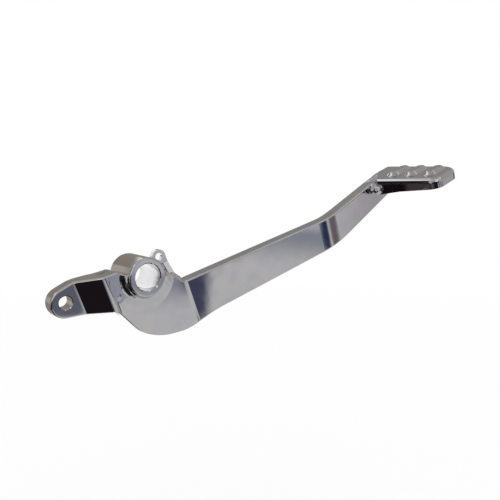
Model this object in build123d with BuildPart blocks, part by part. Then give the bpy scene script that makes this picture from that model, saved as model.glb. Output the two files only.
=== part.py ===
"""Rear brake pedal: a bent flat-bar arm on a pivot tube, with a pressed foot pad and a spring tab.

Millimetres. The origin is the middle of the pivot bore. Z is up, the bore runs along Y, the
outer side of the pedal faces -Y, and the arm reaches forward to +X while it rises.
"""
import os
from math import cos, hypot, pi, radians, sin, tan

from build123d import *

# How the pedal hangs at rest
arm_rise = 19.5

# Pivot tube
bore_diameter = 15.0
tube_wall = 3.25
tube_length = 25.0
tube_front_reach = 6.0
tube_rim_round = 0.9
bore_mouth_chamfer = 0.4
tube_fit = 0.1

# Flat bar that the arm is cut from
bar_thickness = 9.0
edge_round = 0.9
crank_bend_radius = 7.0

# Rear ear, set in towards the motorcycle, with the hole for the brake rod's pin
ear_x = -40.8
ear_z = 3.0
ear_radius = 7.5
ear_under_reach = 8.3
ear_setback = 8.4
ear_rear_x = -60.0
ear_top_rise = 5.5
ear_under_fall = 16.8
pin_hole_diameter = 7.0
pin_hole_chamfer = 0.4
ramp_rear_x = -32.0
ramp_front_x = -19.2

# Heel behind the hub, where the lever's back runs on to the tube
heel_rear_x = -23.5
heel_front_x = -15.5
heel_y = 7.7
heel_radius = 14.5

# Hub behind the tube, with its round belly below
hub_top_x = -7.0
hub_top_z = 4.0
neck_foot_x = -13.2
neck_foot_z = 8.5
neck_foot_round = 3.0
neck_low_x = -21.0
neck_low_z = 9.0
neck_hump_x = -34.0
neck_hump_z = 11.4
neck_round = 14.0
hub_corner_x = -20.0
hub_corner_round = 2.5
belly_side_x = -12.3
belly_side_z = -29.4
belly_side_round = 26.0
belly_low_x = -1.1
belly_low_z = -38.1
belly_low_round = 36.0
belly_toe_x = 17.0
belly_toe_z = -43.3
belly_toe_round = 33.0
belly_join_x = 36.6
belly_join_round = 80.0
shoulder_x = 22.2
shoulder_lean = 0.71
shoulder_round = 6.0

# Long arm: bent outwards past the hub, then partly back and turned up near the tip
arm_start_x = 23.6
arm_outward_angle = 9.6
arm_bend_radius = 20.0
arm_axis_z = -27.5
arm_start_depth = 25.75
arm_end_depth = 20.8
turn_top_x = 133.0
turn_top_round = 80.0
turn_bottom_x = 134.5
turn_bottom_round = 120.0
tip_bend_x = 130.0
tip_outward_angle = 3.0
tip_bend_radius = 130.0
tip_top_slope = 0.17
tip_bottom_slope = 0.256
tip_nose_round = 4.5
tip_seat_round = 12.0

# Foot pad, pressed from sheet with its sides turned down
pad_rear_x = 177.5
pad_inner_width = 35.0
pad_outer_width = 29.0
pad_length = 59.3
pad_top_z = -6.5
pad_inner_gap = 5.5
pad_slant_reach = 19.5
pad_sheet = 2.5
pad_press_radius = 2.9
pad_rear_corner = 6.5
pad_front_corner = 13.0
skirt_outer_depth = 6.6
skirt_middle_depth = 8.4
skirt_middle_y = -50.0
skirt_inner_depth = 10.8
tip_clearance = 1.6

# Raised grips across the pad
grip_count = 3
grip_first_y = -38.2
grip_pitch = 14.1
grip_rear_x = 185.5
grip_front_margin = 3.4
grip_width = 10.5
grip_height = 2.3
grip_flank = 48.0
grip_skew = -4.0
grip_foot_round = 1.0
grip_crest_round = 2.0

# Return spring tab
tab_sheet = 3.0
tab_hole_diameter = 4.4
tab_eye_radius = 4.2
tab_eye_x = 14.7
tab_eye_z = 4.3
tab_eye_y = -0.5
tab_bend_z = 0.0
tab_bend_rear_x = 15.9
tab_bend_front_x = 19.0
tab_foot_rear_x = 17.3
tab_foot_front_x = 20.4
tab_foot_z = -15.0
tab_lean = 0.24
tab_bend_radius = 3.0
tab_eye_flank = 30.0

# Welds
boss_weld_height = 4.7
boss_weld_leg = 4.0
boss_weld_hollow = 4.5
rear_weld_leg = 3.0
boss_blend_width = 4.8
boss_blend_height = 0.8
weld_feather = 0.12
weld_root = 1.0
tab_bead_radius = 1.9
tab_bead_x = 19.0
tab_bead_z = -10.2
tab_bead_step = 2.0
tab_bead_slope = 35.5
pad_bead_radius = 4.2
pad_bead_z = -13.2
pad_bead_stand = 1.8
pad_bead_lap = 3.6
pad_bead_run = 3.6
pad_bead_shrink = 0.9
pad_bead_reach = 8.0

# Worked-out values
bore_radius = bore_diameter / 2
tube_radius = bore_radius + tube_wall
front_face_y = tube_front_reach - tube_length / 2
hub_y = front_face_y + bar_thickness / 2
ear_y = hub_y + ear_setback
clear_of_all = 300.0
same_within = 0.01

# The pedal's own planes: side view, plan view and end view
along_arm = (cos(radians(arm_rise)), 0, sin(radians(arm_rise)))
across_arm = (-sin(radians(arm_rise)), 0, cos(radians(arm_rise)))
side_view = Plane(origin=(0, 0, 0), x_dir=along_arm, z_dir=(0, -1, 0))
plan_view = Plane(origin=(0, 0, 0), x_dir=along_arm, z_dir=across_arm)
end_view = Plane(origin=(0, 0, 0), x_dir=(0, 1, 0), z_dir=along_arm)
up_axis = Axis(origin=(0, 0, 0), direction=across_arm)


def bar_y(x):
    """Middle of the bar's thickness at a place along the arm, past the hub."""
    outward = (min(x, tip_bend_x) - arm_start_x) * tan(radians(arm_outward_angle))
    outward += max(x - tip_bend_x, 0) * tan(radians(tip_outward_angle))
    return hub_y - outward


def arm_top(x):
    """Height of the long arm's top edge before it turns up."""
    taper = (arm_start_depth - arm_end_depth) / 2 / (turn_bottom_x - arm_start_x)
    return arm_axis_z + arm_start_depth / 2 - taper * (x - arm_start_x)


def arm_bottom(x):
    """Height of the long arm's bottom edge, the mirror of its top."""
    return 2 * arm_axis_z - arm_top(x)


def corner(sketch, x, y):
    """The corner of a sketch that lies nearest to a place."""
    return sketch.vertices().sort_by_distance((x, y))[0]


# Pad places that follow from the arm
pad_under_z = pad_top_z - pad_sheet
pad_front_x = pad_rear_x + pad_inner_width
tip_end_x = pad_front_x - pad_sheet - tip_clearance
tip_seat_x = turn_top_x + (pad_under_z - arm_top(turn_top_x)) / tip_top_slope
tip_nose_z = arm_bottom(turn_bottom_x) + (tip_end_x - turn_bottom_x) * tip_bottom_slope
pad_inner_y = bar_y(pad_rear_x) - bar_thickness / 2 - pad_inner_gap
pad_back_y = bar_y(pad_front_x) + bar_thickness / 2
pad_outer_y = pad_back_y - pad_length


def pad_front_wall(y):
    """Inner face of the pad's front side at a place along it."""
    lean = (pad_inner_width - pad_outer_width) / pad_length
    return pad_front_x - pad_sheet * hypot(1, lean) - lean * (pad_back_y - y)


# Place and length of each grip
grips = []
for grip in range(grip_count):
    grip_y = grip_first_y - grip * grip_pitch
    grip_front_x = pad_front_wall(grip_y) + pad_sheet - grip_front_margin
    grips.append(((grip_rear_x + grip_front_x) / 2, grip_y, grip_front_x - grip_rear_x))

# Side outline of the bar: ear, underside, belly, arm, tip, and back over the shoulder and hub
ear_under_x = ear_x - ear_under_reach * sin(radians(ear_under_fall))
ear_under_z = ear_z - ear_under_reach * cos(radians(ear_under_fall))
ear_end_x = ear_x - (ear_radius + ear_under_reach) / 2
ear_top_x = ear_x - ear_radius * sin(radians(ear_top_rise))
ear_top_z = ear_z + ear_radius * cos(radians(ear_top_rise))
hub_corner_z = ear_under_z - (hub_corner_x - ear_under_x) * tan(radians(ear_under_fall))
shoulder_top_x = shoulder_x - (hub_top_z - arm_top(shoulder_x)) * shoulder_lean

with BuildSketch(side_view) as bar_outline:
    with BuildLine():
        Polyline(
            (ear_under_x, ear_under_z),
            (hub_corner_x, hub_corner_z),
            (belly_side_x, belly_side_z),
            (belly_low_x, belly_low_z),
            (belly_toe_x, belly_toe_z),
            (belly_join_x, arm_bottom(belly_join_x)),
            (turn_bottom_x, arm_bottom(turn_bottom_x)),
            (tip_end_x, tip_nose_z),
            (tip_end_x, pad_under_z),
            (tip_seat_x, pad_under_z),
            (turn_top_x, arm_top(turn_top_x)),
            (shoulder_x, arm_top(shoulder_x)),
            (shoulder_top_x, hub_top_z),
            (hub_top_x, hub_top_z),
            (neck_foot_x, neck_foot_z),
            (neck_low_x, neck_low_z),
            (neck_hump_x, neck_hump_z),
            (ear_top_x, ear_top_z),
        )
        ThreePointArc((ear_top_x, ear_top_z), (ear_end_x, ear_z), (ear_under_x, ear_under_z))
    make_face()
    fillet(corner(bar_outline, hub_corner_x, hub_corner_z), radius=hub_corner_round)
    fillet(corner(bar_outline, belly_side_x, belly_side_z), radius=belly_side_round)
    fillet(corner(bar_outline, belly_low_x, belly_low_z), radius=belly_low_round)
    fillet(corner(bar_outline, belly_toe_x, belly_toe_z), radius=belly_toe_round)
    fillet(corner(bar_outline, belly_join_x, arm_bottom(belly_join_x)), radius=belly_join_round)
    fillet(corner(bar_outline, turn_bottom_x, arm_bottom(turn_bottom_x)), radius=turn_bottom_round)
    fillet(corner(bar_outline, tip_end_x, tip_nose_z), radius=tip_nose_round)
    fillet(corner(bar_outline, tip_seat_x, pad_under_z), radius=tip_seat_round)
    fillet(corner(bar_outline, turn_top_x, arm_top(turn_top_x)), radius=turn_top_round)
    fillet(corner(bar_outline, shoulder_x, arm_top(shoulder_x)), radius=shoulder_round)
    fillet(corner(bar_outline, neck_foot_x, neck_foot_z), radius=neck_foot_round)
    fillet(corner(bar_outline, neck_low_x, neck_low_z), radius=neck_round)
    fillet(corner(bar_outline, neck_hump_x, neck_hump_z), radius=neck_round)

# Pivot tube, its rims rounded and its bore lightly chamfered
with BuildPart() as pivot_tube:
    with BuildSketch(Plane.XZ):
        Circle(tube_radius)
        Circle(bore_radius, mode=Mode.SUBTRACT)
    extrude(amount=tube_length / 2, both=True)
    rims = pivot_tube.edges().filter_by(GeomType.CIRCLE).group_by(SortBy.RADIUS)
    fillet(rims[-1], radius=tube_rim_round)
    chamfer(rims[0], length=bore_mouth_chamfer)

# Heel: the lever's thick root, which ends in a round collar behind the hub
with BuildPart() as heel:
    with BuildSketch(plan_view):
        with BuildLine():
            Polyline(
                (ramp_rear_x, ear_y),
                (ramp_rear_x, ear_y + bar_thickness / 2),
                (heel_rear_x, ear_y + bar_thickness / 2),
                (heel_front_x, heel_y),
                (heel_radius, heel_y),
                (heel_radius, hub_y),
                close=True,
            )
        make_face()
    extrude(amount=clear_of_all, both=True)
    with BuildSketch(side_view):
        with BuildLine():
            Polyline(
                (ramp_rear_x, clear_of_all),
                (0, clear_of_all),
                (0, -heel_radius),
                (hub_corner_x, hub_corner_z),
                (ramp_rear_x, -clear_of_all),
                close=True,
            )
        make_face()
        Circle(heel_radius)
    extrude(amount=clear_of_all, both=True, mode=Mode.INTERSECT)
    extrude(bar_outline.sketch, amount=clear_of_all, both=True, mode=Mode.INTERSECT)

# Arm: the bar is bent along its path, trimmed to the side outline, rounded and drilled
with BuildPart() as pedal_arm:
    with BuildSketch(plan_view):
        with BuildLine():
            FilletPolyline(
                (ear_rear_x, ear_y),
                (ramp_rear_x, ear_y),
                (ramp_front_x, hub_y),
                (arm_start_x, hub_y),
                (tip_bend_x, bar_y(tip_bend_x)),
                (pad_front_x, bar_y(pad_front_x)),
                radius=(crank_bend_radius, crank_bend_radius, arm_bend_radius, tip_bend_radius),
            )
        trace(line_width=bar_thickness)
    extrude(amount=clear_of_all, both=True)
    extrude(bar_outline.sketch, amount=clear_of_all, both=True, mode=Mode.INTERSECT)
    bar_sides = pedal_arm.faces().filter_by(lambda face: abs(face.normal_at().Y) > cos(radians(45)))
    fillet(bar_sides.edges(), radius=edge_round)
    add(heel.part)
    with BuildSketch(Plane.XZ):
        Circle(tube_radius + tube_fit)
    extrude(amount=clear_of_all, both=True, mode=Mode.SUBTRACT)
    with BuildSketch(side_view):
        with Locations((ear_x, ear_z)):
            Circle(pin_hole_diameter / 2)
    extrude(amount=clear_of_all, both=True, mode=Mode.SUBTRACT)
    pin_hole_rims = pedal_arm.edges().filter_by(GeomType.CIRCLE).filter_by(
        lambda edge: abs(edge.radius - pin_hole_diameter / 2) < same_within
    )
    chamfer(pin_hole_rims, length=pin_hole_chamfer)

# The same outline drawn in by the rounding, which the welds on the bar keep inside
with BuildSketch(side_view) as weld_limit:
    add(bar_outline.sketch_local)
    offset(amount=-edge_round, kind=Kind.INTERSECTION)

# Front boss weld: a hollow fillet round the tube that fades into a broad ground ring
with BuildPart() as boss_weld_front:
    with BuildSketch(Plane.XY):
        with BuildLine():
            ring_radius = tube_radius + boss_weld_leg
            ring_y = front_face_y - boss_blend_height
            fade_radius = ring_radius + boss_blend_width
            Line((tube_radius, front_face_y), (tube_radius, front_face_y - boss_weld_height))
            RadiusArc(
                (tube_radius, front_face_y - boss_weld_height), (ring_radius, ring_y), boss_weld_hollow
            )
            Line((ring_radius, ring_y), (fade_radius, front_face_y - weld_feather))
            Line((fade_radius, front_face_y - weld_feather), (fade_radius, front_face_y + weld_root))
            Line((fade_radius, front_face_y + weld_root), (ring_radius, front_face_y + weld_root))
            Line((ring_radius, front_face_y + weld_root), (ring_radius, front_face_y))
            Line((ring_radius, front_face_y), (tube_radius, front_face_y))
        make_face()
    revolve(axis=Axis.Y)
    extrude(weld_limit.sketch, amount=clear_of_all, both=True, mode=Mode.INTERSECT)
    add(pedal_arm.part, mode=Mode.SUBTRACT)

# Rear boss weld: a plain fillet on the heel's collar
with BuildPart() as boss_weld_rear:
    with BuildSketch(Plane.XY):
        with BuildLine():
            rear_toe = tube_radius + rear_weld_leg
            Line((tube_radius, heel_y), (tube_radius, heel_y + rear_weld_leg))
            RadiusArc((tube_radius, heel_y + rear_weld_leg), (rear_toe, heel_y + weld_feather), -rear_weld_leg)
            Line((rear_toe, heel_y + weld_feather), (rear_toe, heel_y))
            Line((rear_toe, heel_y), (tube_radius, heel_y))
        make_face()
    revolve(axis=Axis.Y)
    extrude(weld_limit.sketch, amount=clear_of_all, both=True, mode=Mode.INTERSECT)

# Spring tab: a strip with an eye, its leg leaning out to the bar's edge
with BuildPart() as spring_tab:
    with BuildSketch(Plane(origin=(0, 0, 0), x_dir=across_arm, z_dir=along_arm)):
        with BuildLine():
            FilletPolyline(
                (tab_eye_z + tab_eye_radius, -tab_eye_y),
                (tab_bend_z, -tab_eye_y),
                (tab_foot_z, -tab_eye_y + (tab_bend_z - tab_foot_z) * tab_lean),
                radius=tab_bend_radius,
            )
        trace(line_width=tab_sheet)
    extrude(amount=clear_of_all, both=True)
    with BuildSketch(side_view):
        with Locations((tab_eye_x, tab_eye_z)):
            Circle(tab_eye_radius)
        with BuildLine():
            flank = radians(tab_eye_flank)
            Polyline(
                (tab_eye_x - tab_eye_radius * cos(flank), tab_eye_z - tab_eye_radius * sin(flank)),
                (tab_bend_rear_x, tab_bend_z),
                (tab_foot_rear_x, tab_foot_z),
                (tab_foot_front_x, tab_foot_z),
                (tab_bend_front_x, tab_bend_z),
                (tab_eye_x + tab_eye_radius, tab_eye_z),
                close=True,
            )
        make_face()
    extrude(amount=clear_of_all, both=True, mode=Mode.INTERSECT)
    with BuildSketch(side_view):
        with Locations((tab_eye_x, tab_eye_z)):
            Circle(tab_hole_diameter / 2)
    extrude(amount=clear_of_all, both=True, mode=Mode.SUBTRACT)
    add(pedal_arm.part, mode=Mode.SUBTRACT)

# Foot pad: pressed over at the rear, outer and front sides, cut on a slant where the arm comes in
with BuildPart() as tread_pad:
    with BuildSketch(plan_view.offset(pad_top_z)) as pad_outline:
        with BuildLine():
            Polyline(
                (pad_rear_x, pad_inner_y),
                (pad_rear_x, pad_outer_y),
                (pad_rear_x + pad_outer_width, pad_outer_y),
                (pad_front_x, pad_back_y),
                (pad_rear_x + pad_slant_reach, pad_back_y),
                close=True,
            )
        make_face()
        fillet(corner(pad_outline, pad_rear_x, pad_outer_y), radius=pad_rear_corner)
        fillet(corner(pad_outline, pad_rear_x + pad_outer_width, pad_outer_y), radius=pad_front_corner)
    extrude(amount=-skirt_inner_depth)
    pad_top_edges = tread_pad.faces().sort_by(up_axis)[-1].edges()
    fillet(pad_top_edges.sort_by(Axis.Y)[:-2], radius=pad_press_radius)
    with BuildSketch(plan_view.offset(pad_under_z)) as pad_hollow:
        with BuildLine():
            hollow_rear_x = pad_rear_x + pad_sheet
            hollow_outer_y = pad_outer_y + pad_sheet
            hollow_inner_y = pad_back_y + pad_sheet
            hollow_corner_x = pad_front_wall(hollow_outer_y)
            Polyline(
                (hollow_rear_x, hollow_inner_y),
                (hollow_rear_x, hollow_outer_y),
                (hollow_corner_x, hollow_outer_y),
                (pad_front_wall(hollow_inner_y), hollow_inner_y),
                close=True,
            )
        make_face()
        fillet(corner(pad_hollow, hollow_rear_x, hollow_outer_y), radius=pad_rear_corner - pad_sheet)
        fillet(corner(pad_hollow, hollow_corner_x, hollow_outer_y), radius=pad_front_corner - pad_sheet)
    extrude(amount=-clear_of_all, mode=Mode.SUBTRACT)
    with BuildSketch(end_view):
        with BuildLine():
            Polyline(
                (pad_outer_y - clear_of_all, pad_top_z - clear_of_all),
                (pad_outer_y - clear_of_all, pad_top_z - skirt_outer_depth),
                (pad_outer_y, pad_top_z - skirt_outer_depth),
                (skirt_middle_y, pad_top_z - skirt_middle_depth),
                (pad_inner_y, pad_top_z - skirt_inner_depth),
                (pad_inner_y, pad_top_z - clear_of_all),
                close=True,
            )
        make_face()
    extrude(amount=clear_of_all, mode=Mode.SUBTRACT)
    for grip_x, grip_y, grip_length in grips:
        with BuildSketch(plan_view.offset(pad_top_z)):
            with Locations((grip_x, grip_y)):
                SlotOverall(grip_length, grip_width, rotation=grip_skew)
        extrude(amount=grip_height, taper=grip_flank)
    crest_z = pad_top_z + grip_height
    foot_edges = tread_pad.edges().filter_by_position(up_axis, pad_top_z - same_within, pad_top_z + same_within)
    foot_ends = foot_edges.filter_by(lambda edge: abs(edge.length - pi * grip_width / 2) < same_within)
    fillet(foot_ends, radius=grip_foot_round)
    crest_edges = tread_pad.edges().filter_by_position(up_axis, crest_z - same_within, crest_z + same_within)
    fillet(crest_edges, radius=grip_crest_round)
    wall_shift = pad_sheet * (1 / cos(radians(grip_flank)) - tan(radians(grip_flank)))
    for grip_x, grip_y, grip_length in grips:
        with BuildSketch(plan_view.offset(pad_under_z)):
            with Locations((grip_x, grip_y)):
                SlotOverall(grip_length - 2 * wall_shift, grip_width - 2 * wall_shift, rotation=grip_skew)
        extrude(amount=grip_height, taper=grip_flank, mode=Mode.SUBTRACT)

# Bead round the foot of the spring tab, laid on the bar's edge
with BuildPart() as spring_tab_weld:
    tab_front_y = tab_eye_y - tab_sheet / 2 - (tab_bend_z - tab_bead_z) * tab_lean
    for step in (-1, 0, 1):
        bead_x = tab_bead_x + step * tab_bead_step * sin(radians(tab_bead_slope))
        bead_z = tab_bead_z - step * tab_bead_step * cos(radians(tab_bead_slope))
        with Locations(plan_view):
            with Locations((bead_x, tab_front_y, bead_z)):
                Sphere(tab_bead_radius, rotation=(90, 0, 0))
    add(pedal_arm.part, mode=Mode.SUBTRACT)
    add(spring_tab.part, mode=Mode.SUBTRACT)
    add(boss_weld_front.part, mode=Mode.SUBTRACT)

# Bead under the pad's inner corner, against the arm's front face
with BuildPart() as pad_weld_front:
    bead_y = bar_y(pad_rear_x) - bar_thickness / 2 - pad_bead_stand
    small_radius = pad_bead_radius - pad_bead_shrink
    with Locations(plan_view):
        with Locations((pad_rear_x, bead_y, pad_bead_z)):
            Sphere(pad_bead_radius, rotation=(90, 0, 0))
        with Locations(
            (pad_rear_x - pad_sheet / 4, bead_y - pad_bead_lap, pad_bead_z - pad_bead_shrink / 2),
            (pad_rear_x + pad_bead_run, bead_y, pad_bead_z - pad_bead_shrink),
            (pad_rear_x + 2 * pad_bead_run, bead_y + pad_bead_shrink, pad_bead_z),
        ):
            Sphere(small_radius, rotation=(90, 0, 0))
    with BuildSketch(plan_view.offset(pad_under_z)):
        with BuildLine():
            slant = (pad_back_y - pad_inner_y) / pad_slant_reach
            half_bar = bar_thickness / 2 / cos(radians(tip_outward_angle))
            reach_rear_x = pad_rear_x - pad_bead_reach
            reach_front_x = pad_rear_x + 2 * pad_bead_reach
            Polyline(
                (reach_rear_x, pad_inner_y - pad_bead_reach),
                (pad_rear_x, pad_inner_y - pad_bead_reach),
                (pad_rear_x, pad_inner_y),
                (pad_rear_x + pad_sheet, pad_inner_y + pad_sheet * slant),
                (pad_rear_x + pad_sheet, pad_inner_y),
                (reach_front_x, pad_inner_y),
                (reach_front_x, bar_y(reach_front_x) - half_bar),
                (reach_rear_x, bar_y(reach_rear_x) - half_bar),
                close=True,
            )
        make_face()
    extrude(amount=-pad_bead_reach * 2, mode=Mode.INTERSECT)

# Wedge of weld on the arm's tip, ground flush between its slope and the pad
with BuildPart() as pad_weld_top:
    with BuildSketch(plan_view):
        with BuildLine():
            Line((tip_bend_x, bar_y(tip_bend_x)), (pad_front_x, bar_y(pad_front_x)))
        trace(line_width=bar_thickness - 2 * edge_round)
    extrude(amount=clear_of_all, both=True)
    with BuildSketch(side_view):
        with BuildLine():
            wedge_end_x = tip_seat_x + pad_sheet / tip_top_slope
            Polyline(
                (tip_seat_x, pad_under_z),
                (wedge_end_x, pad_top_z),
                (wedge_end_x, pad_under_z - weld_root),
                (tip_seat_x, pad_under_z - weld_root),
                close=True,
            )
        make_face()
    extrude(amount=clear_of_all, both=True, mode=Mode.INTERSECT)
    add(pedal_arm.part, mode=Mode.SUBTRACT)
    add(tread_pad.part, mode=Mode.SUBTRACT)

os.makedirs("parts", exist_ok=True)
pedal_arm.part.label = "pedal_arm"
export_step(pedal_arm.part, "parts/pedal_arm.step")
pivot_tube.part.label = "pivot_tube"
export_step(pivot_tube.part, "parts/pivot_tube.step")
boss_weld_front.part.label = "boss_weld_front"
export_step(boss_weld_front.part, "parts/boss_weld_front.step")
boss_weld_rear.part.label = "boss_weld_rear"
export_step(boss_weld_rear.part, "parts/boss_weld_rear.step")
spring_tab.part.label = "spring_tab"
export_step(spring_tab.part, "parts/spring_tab.step")
spring_tab_weld.part.label = "spring_tab_weld"
export_step(spring_tab_weld.part, "parts/spring_tab_weld.step")
tread_pad.part.label = "tread_pad"
export_step(tread_pad.part, "parts/tread_pad.step")
pad_weld_front.part.label = "pad_weld_front"
export_step(pad_weld_front.part, "parts/pad_weld_front.step")
pad_weld_top.part.label = "pad_weld_top"
export_step(pad_weld_top.part, "parts/pad_weld_top.step")
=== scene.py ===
from math import cos, radians, sin

import bmesh
import bpy
from mathutils import Matrix, Vector, noise


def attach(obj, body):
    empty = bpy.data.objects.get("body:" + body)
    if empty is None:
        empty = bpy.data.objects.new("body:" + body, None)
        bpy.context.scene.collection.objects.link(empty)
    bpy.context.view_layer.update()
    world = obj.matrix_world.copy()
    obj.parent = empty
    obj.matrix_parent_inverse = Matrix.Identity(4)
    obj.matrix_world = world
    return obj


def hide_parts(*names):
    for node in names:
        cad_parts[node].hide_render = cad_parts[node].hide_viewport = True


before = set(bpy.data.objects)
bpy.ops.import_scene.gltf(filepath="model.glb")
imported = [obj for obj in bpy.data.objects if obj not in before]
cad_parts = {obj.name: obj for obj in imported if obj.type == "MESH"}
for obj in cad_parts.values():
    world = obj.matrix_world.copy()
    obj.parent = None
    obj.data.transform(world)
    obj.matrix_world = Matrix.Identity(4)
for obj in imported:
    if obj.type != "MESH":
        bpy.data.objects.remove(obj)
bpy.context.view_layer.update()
MM = 0.001

# Pedal arm
# One flat steel bar, cut with its ear, hub and long arm in one outline and then bent. It was
# buffed and, with all that is welded to it, chrome plated in one bath.


def linear(hex_colour):
    """An sRGB hex colour as the linear values that a shader takes."""
    values = [int(hex_colour[i:i + 2], 16) / 255 for i in (1, 3, 5)]
    return [v / 12.92 if v <= 0.04045 else ((v + 0.055) / 1.055) ** 2.4 for v in values] + [1.0]


def add_node(tree, kind, links=None, **settings):
    """Adds a node; links maps its inputs to other nodes' outputs or to plain values."""
    node = tree.nodes.new(kind)
    for name, value in settings.items():
        setattr(node, name, value)
    for key, value in (links or {}).items():
        if isinstance(value, bpy.types.NodeSocket):
            tree.links.new(value, node.inputs[key])
        else:
            node.inputs[key].default_value = value
    return node


def new_tree(name, holder=None):
    """An empty node tree of a new material, or of the world that is given."""
    owner = holder or bpy.data.materials.new(name)
    owner.use_nodes = True
    owner.node_tree.nodes.clear()
    return owner, owner.node_tree


# Chrome has hardly a colour of its own: a trace of warmth where it is clear, of blue where hazy
chrome_bright = "#c9c7c6"
chrome_cool = "#c0c1c6"
clear_roughness = 0.03
wave_detail = 2.0
# The faint dull patches that buffing leaves, and the values of their noise between which the
# haze thickens and the tone shifts
patch_length = 9 * MM
patch_detail = 3.0
haze_from, haze_to = 0.4, 0.75
tone_from, tone_to = 0.3, 0.7


def chrome_plate(name, wave, depth, haze):
    """Bright chrome over steel: low waves bend what it mirrors, and thin haze dulls it in spots."""
    material, tree = new_tree(name)
    place = add_node(tree, "ShaderNodeTexCoord").outputs["Object"]
    waves = add_node(tree, "ShaderNodeTexNoise", {
        "Vector": place, "Scale": 1 / wave, "Detail": wave_detail,
    })
    bump = add_node(tree, "ShaderNodeBump", {"Height": waves.outputs["Fac"], "Distance": depth})
    patches = add_node(tree, "ShaderNodeTexNoise", {
        "Vector": place, "Scale": 1 / patch_length, "Detail": patch_detail,
    })
    dulled = add_node(tree, "ShaderNodeMapRange", {
        "Value": patches.outputs["Fac"],
        "From Min": haze_from,
        "From Max": haze_to,
        "To Min": clear_roughness,
        "To Max": haze,
    })
    tone = add_node(tree, "ShaderNodeMapRange", {
        "Value": patches.outputs["Fac"], "From Min": tone_from, "From Max": tone_to,
    })
    metal = add_node(tree, "ShaderNodeMix", {
        0: tone.outputs["Result"], 6: linear(chrome_bright), 7: linear(chrome_cool),
    }, data_type="RGBA")
    skin = add_node(tree, "ShaderNodeBsdfPrincipled", {
        "Base Color": metal.outputs[2],
        "Metallic": 1.0,
        "Roughness": dulled.outputs["Result"],
        "Normal": bump.outputs["Normal"],
    })
    add_node(tree, "ShaderNodeOutputMaterial", {"Surface": skin.outputs["BSDF"]})
    return material


def plate_piece(node, material):
    """Gives a piece of the frame its chrome."""
    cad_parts[node].data.materials.clear()
    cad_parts[node].data.materials.append(material)


# Chrome on a buffed flat: a clear mirror with slow waves about 20 mm long, a few hundredths deep
buffed_chrome = chrome_plate("buffed_chrome_plate", wave=20 * MM, depth=0.03 * MM, haze=0.08)
plate_piece("pedal_arm", buffed_chrome)

# Pivot tube
# A short length of thick steel tube through the arm's hub, faced off at both ends and bored
# for the pivot bolt. It is turned, so it is the smoothest piece of the pedal.

# Chrome on a turned surface: the clearest mirror of all, with hardly a wave in it
turned_chrome = chrome_plate("turned_chrome_plate", wave=14 * MM, depth=0.008 * MM, haze=0.06)
plate_piece("pivot_tube", turned_chrome)

# Spring tab
# A small eyelet of thin steel plate, cut out and set on the hub's top edge, for the hook of
# the return spring. It is buffed and plated like the arm.
plate_piece("spring_tab", buffed_chrome)

# Tread pad
# A foot plate pressed from sheet steel: its sides are turned down, and three long ridges are
# pressed up from below for grip.

# Chrome on pressed sheet: a mirror with shorter waves, which break up what it shows
pressed_chrome = chrome_plate("pressed_chrome_plate", wave=12 * MM, depth=0.04 * MM, haze=0.10)
plate_piece("tread_pad", pressed_chrome)

# Welds
# Beads of weld metal around the tube, at the spring tab's foot and between the arm's tip and
# the pad. They are plated as laid, so their small ripples and pits show in the chrome.

# Chrome on raw weld: short ripples and patches of haze, so that it glitters more than it mirrors
weld_chrome = chrome_plate("chrome_plate_over_weld", wave=3 * MM, depth=0.04 * MM, haze=0.30)
# Edges sharper than this are the toes and rims of a bead
sharp_toe = radians(38)
bead_facet = 0.7 * MM
split_rounds = 6
same_point = 0.001 * MM
# The lumps lie in two layers, the second half as long and half as high as the first
lump_layers = 2
lump_gap = 2.0
lump_fading = 1.0
# Each bead, the length of its lumps and how far they stand out, in millimetres
beads = (
    ("boss_weld_front", 2.6, 0.05),
    ("boss_weld_rear", 5.0, 0.06),
    ("spring_tab_weld", 2.2, 0.16),
    ("pad_weld_front", 3.4, 0.40),
    ("pad_weld_top", 3.0, 0.12),
)
for bead, lump_length, lump_height in beads:
    shape = bmesh.new()
    shape.from_mesh(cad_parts[bead].data)
    bmesh.ops.remove_doubles(shape, verts=shape.verts, dist=same_point)
    # Split until no facet is longer than the size that carries the lumps
    for _ in range(split_rounds):
        long_edges = [edge for edge in shape.edges if edge.calc_length() > bead_facet]
        if not long_edges:
            break
        bmesh.ops.subdivide_edges(shape, edges=long_edges, cuts=1)
        bmesh.ops.triangulate(shape, faces=[face for face in shape.faces if len(face.verts) > 3])
    shape.normal_update()
    for edge in shape.edges:
        edge.smooth = edge.calc_face_angle(0) < sharp_toe
    # Lumps rise from the bead's open surface, while its toes and sharp rims stay where they are
    moves = []
    for vert in shape.verts:
        free = all(edge.smooth for edge in vert.link_edges)
        lump = noise.fractal(vert.co / (lump_length * MM), lump_fading, lump_gap, lump_layers)
        moves.append(vert.normal * lump * lump_height * MM if free else Vector())
    for vert, move in zip(shape.verts, moves):
        vert.co += move
    for face in shape.faces:
        face.smooth = True
    bead_mesh = bpy.data.meshes.new(bead + "_as_laid")
    shape.to_mesh(bead_mesh)
    shape.free()
    bead_mesh.materials.append(weld_chrome)
    laid = bpy.data.objects.new(bead + "_as_laid", bead_mesh)
    bpy.context.scene.collection.objects.link(laid)
    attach(laid, "root")
    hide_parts(bead)

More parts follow.
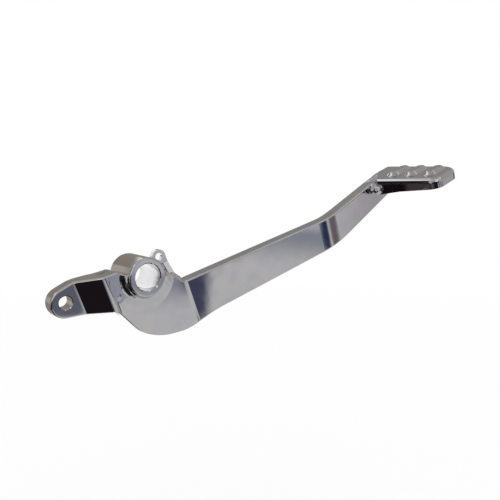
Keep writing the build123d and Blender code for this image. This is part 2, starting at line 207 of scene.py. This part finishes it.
# Camera
# The photo was taken from close by, at the pedal's outer side and a little above it. The lens
# and distance follow from the vanishing point of the pivot's edges and the round bore.
camera_place = Vector((-125.2, -251.5, 47.3)) * MM
camera_turn = radians(39.3)
camera_fall = radians(7.0)
camera_data = bpy.data.cameras.new("photo_camera")
camera_data.sensor_width = 36.0
camera_data.lens = 36.0
camera = bpy.data.objects.new("photo_camera", camera_data)
bpy.context.scene.collection.objects.link(camera)
forward = Vector((
    sin(camera_turn) * cos(camera_fall), cos(camera_turn) * cos(camera_fall), -sin(camera_fall)
))
facing = forward.to_track_quat("-Z", "Y").to_matrix().to_4x4()
camera.matrix_world = Matrix.Translation(camera_place) @ facing
bpy.context.scene.camera = camera

# Studio
# A white table under the pedal in an even white surround, at a plain level of light. The table
# is left out of the chrome's reflections, because the room's own low walls stand there.
scene = bpy.context.scene
scene.view_settings.view_transform = "Standard"
surround_white = "#ffffff"
scene.world, tree = new_tree("white_surround", bpy.data.worlds.new("white_surround"))
surround = add_node(tree, "ShaderNodeBackground", {
    "Color": linear(surround_white), "Strength": 1.0,
})
add_node(tree, "ShaderNodeOutputWorld", {"Surface": surround.outputs["Background"]})

table_white = "#fefefe"
table_drop = 260 * MM
table_radius = 1500 * MM
pedal_middle = 90 * MM
fade_from, fade_to = 0.6 * table_radius, 0.98 * table_radius
table_middle = Vector((pedal_middle, 0, -table_drop))
table_mesh = bpy.data.meshes.new("table_top")
shape = bmesh.new()
bmesh.ops.create_circle(shape, cap_ends=True, segments=96, radius=table_radius)
bmesh.ops.translate(shape, verts=shape.verts, vec=table_middle)
shape.to_mesh(table_mesh)
shape.free()
table_top = bpy.data.objects.new("table_top", table_mesh)
scene.collection.objects.link(table_top)
table_top.visible_glossy = False
# Matt white paint, which fades into the white surround towards the table's edge
material, tree = new_tree("matt_white_table")
place = add_node(tree, "ShaderNodeTexCoord").outputs["Object"]
reach = add_node(tree, "ShaderNodeVectorMath", {0: place, 1: table_middle}, operation="DISTANCE")
fade = add_node(tree, "ShaderNodeMapRange", {
    "Value": reach.outputs["Value"],
    "From Min": fade_from,
    "From Max": fade_to,
    "To Min": 1.0,
    "To Max": 0.0,
}, interpolation_type="SMOOTHSTEP")
matt = add_node(tree, "ShaderNodeBsdfDiffuse", {"Color": linear(table_white)})
clear = add_node(tree, "ShaderNodeBsdfTransparent")
mixed = add_node(tree, "ShaderNodeMixShader", {
    0: fade.outputs["Result"], 1: clear.outputs["BSDF"], 2: matt.outputs["BSDF"],
})
add_node(tree, "ShaderNodeOutputMaterial", {"Surface": mixed.outputs["Shader"]})
table_mesh.materials.append(material)

# Room
# What the polished chrome mirrors: pale walls and a pale low floor, a bright window, strip
# lights, and the darker things that stand about. Only reflections meet it.
room_radius = 40.0
room_mesh = bpy.data.meshes.new("room_walls")
shape = bmesh.new()
bmesh.ops.create_uvsphere(shape, u_segments=64, v_segments=32, radius=room_radius)
bmesh.ops.reverse_faces(shape, faces=shape.faces)
shape.to_mesh(room_mesh)
shape.free()
room_walls = bpy.data.objects.new("room_walls", room_mesh)
scene.collection.objects.link(room_walls)
room_walls.visible_camera = False
room_walls.visible_diffuse = False
room_walls.visible_shadow = False
room_walls.visible_transmission = False
room_walls.visible_volume_scatter = False

wall_colour = "#dddcdc"
# Each thing: bearing and height of its middle, half its width and height, soft edge (degrees),
# colour, and how bright it is against a white wall
room_things = (
    ("upper_wall", 0, 35, 180, 30, 5, "#b8b5b3", 1.0),
    ("back_wall", 75, 18, 62, 26, 8, "#9c9a96", 1.0),
    ("dark_near_wall", -128, -6, 34, 10, 3, "#332f38", 1.0),
    ("dark_bench", -142, -46, 37, 40, 7, "#211b1f", 1.0),
    ("brown_crate", -162, -35, 12, 5, 3, "#5f5354", 1.0),
    ("window_behind", -125.5, 20, 14.5, 16, 2, "#ffffff", 1.2),
    ("dark_case", -96, -13, 6, 7.5, 1, "#38353c", 1.0),
    ("blue_wall", -83, -13, 6, 13, 2, "#aeb2c0", 1.0),
    ("slate_cabinet", -65, -3.5, 8, 8.7, 2, "#9da2ae", 1.0),
    ("navy_curtain", -74.9, -14, 2.0, 6.8, 0.7, "#4c5069", 1.0),
    ("slate_door", -71.9, -9, 2.4, 4.7, 0.35, "#6e7180", 1.0),
    ("dark_skirting", -65, -18.3, 2.6, 1.1, 0.4, "#6f6e7a", 1.0),
    ("pale_notice", -61.8, -7.9, 2.2, 1.8, 0.6, "#d4d5da", 1.0),
    ("lit_panel", -69, 14, 6, 5, 2, "#f4f4f4", 1.0),
    ("navy_shelf", -56.2, -4, 2.2, 7.5, 1.0, "#353e5a", 1.0),
    ("mauve_curtain", -49.9, -3, 2.4, 9, 1.4, "#7c7279", 1.0),
    ("pale_screen", -30, -2, 15, 12, 3, "#c0bbc0", 1.0),
    ("grey_box", -29, -9, 7, 4, 2, "#9f9f9c", 1.0),
    ("dark_doorway", -4, 0, 8, 10, 2, "#1d1418", 1.0),
    ("dark_frame", 128, 2, 22, 30, 2, "#241e20", 1.0),
    ("low_stool", 84, -26, 13, 10, 2, "#3a3636", 1.0),
    ("floor_mat", 161, -44, 22, 20, 4, "#453e44", 1.0),
    ("strip_light_back", 112, 51, 60, 4.5, 2.5, "#ffffff", 1.25),
    ("strip_light_front", -112, 51, 58, 4.5, 2.5, "#ffffff", 1.45),
    ("lamp_by_window", 138, 43, 14, 7, 3, "#ffffff", 1.15),
    ("ceiling", 0, 90, 180, 33, 3, "#b8b4b1", 1.0),
    ("tube_lamp", -40, 63, 70, 1.6, 0.9, "#ffffff", 1.2),
)
# Straight behind the pivot stand a round window and, before it, a brown board with a pale
# chair: bearing, half width, half the angle of the round, soft edge, colour and brightness
round_things = (
    ("window", 97.5, 29.5, 30.4, 0.5, "#ffffff", 1.35),
    ("brown_board", 97.5, 60, 27.9, 0.6, "#9c948b", 1.0),
    ("pale_chair", 114.5, 5, 27.2, 0.9, "#c4bcb6", 1.0),
)
side_softness = 1.5
# Matt paint and lamplight as one glowing skin: the chrome shows it as soft patches, each kept to
# its place by its bearing and height as seen from the pivot
material, tree = new_tree("room_walls")
place = add_node(tree, "ShaderNodeTexCoord").outputs["Object"]
axes = add_node(tree, "ShaderNodeSeparateXYZ", {0: place})
bearing = add_node(tree, "ShaderNodeMath", {
    0: axes.outputs["Y"], 1: axes.outputs["X"],
}, operation="ARCTAN2").outputs[0]
rise = add_node(tree, "ShaderNodeMath", {0: axes.outputs["Z"], 1: room_radius}, operation="DIVIDE")
rise = add_node(tree, "ShaderNodeMath", {0: rise.outputs[0]}, operation="ARCSINE").outputs[0]
off_axis = add_node(tree, "ShaderNodeMath", {
    0: axes.outputs["Y"], 1: room_radius,
}, operation="DIVIDE").outputs[0]
off_axis = add_node(tree, "ShaderNodeMath", {0: off_axis}, operation="ARCCOSINE").outputs[0]


def nearness(angle, middle, half, softness):
    """One inside a band of angles, falling smoothly to nothing over its soft edges."""
    off = add_node(tree, "ShaderNodeMath", {0: angle, 1: radians(middle)}, operation="SUBTRACT")
    off = add_node(tree, "ShaderNodeMath", {0: off.outputs[0]}, operation="ABSOLUTE")
    return add_node(tree, "ShaderNodeMapRange", {
        "Value": off.outputs[0],
        "From Min": radians(half - softness),
        "From Max": radians(half + softness),
        "To Min": 1.0,
        "To Max": 0.0,
    }, interpolation_type="SMOOTHSTEP").outputs["Result"]


def stand_before(behind, name, masks, paint, brightness):
    """The colours so far, covered by one more thing where both its masks are one."""
    mask = add_node(tree, "ShaderNodeMath", {0: masks[0], 1: masks[1]}, operation="MULTIPLY")
    painted = [value * brightness for value in linear(paint)[:3]] + [1.0]
    return add_node(tree, "ShaderNodeMix", {
        0: mask.outputs[0], 6: behind, 7: painted,
    }, data_type="RGBA", label=name).outputs[2]


shown = linear(wall_colour)
for name, middle, level, half_width, half_height, softness, paint, brightness in room_things:
    sideways = nearness(bearing, middle, half_width, softness)
    upright = nearness(rise, level, half_height, softness)
    shown = stand_before(shown, name, (sideways, upright), paint, brightness)
for name, middle, half_width, half_angle, softness, paint, brightness in round_things:
    sideways = nearness(bearing, middle, half_width, side_softness)
    disc = nearness(off_axis, 0, half_angle, softness)
    shown = stand_before(shown, name, (sideways, disc), paint, brightness)
glow = add_node(tree, "ShaderNodeEmission", {"Color": shown, "Strength": 1.0})
add_node(tree, "ShaderNodeOutputMaterial", {"Surface": glow.outputs["Emission"]})
room_mesh.materials.append(material)
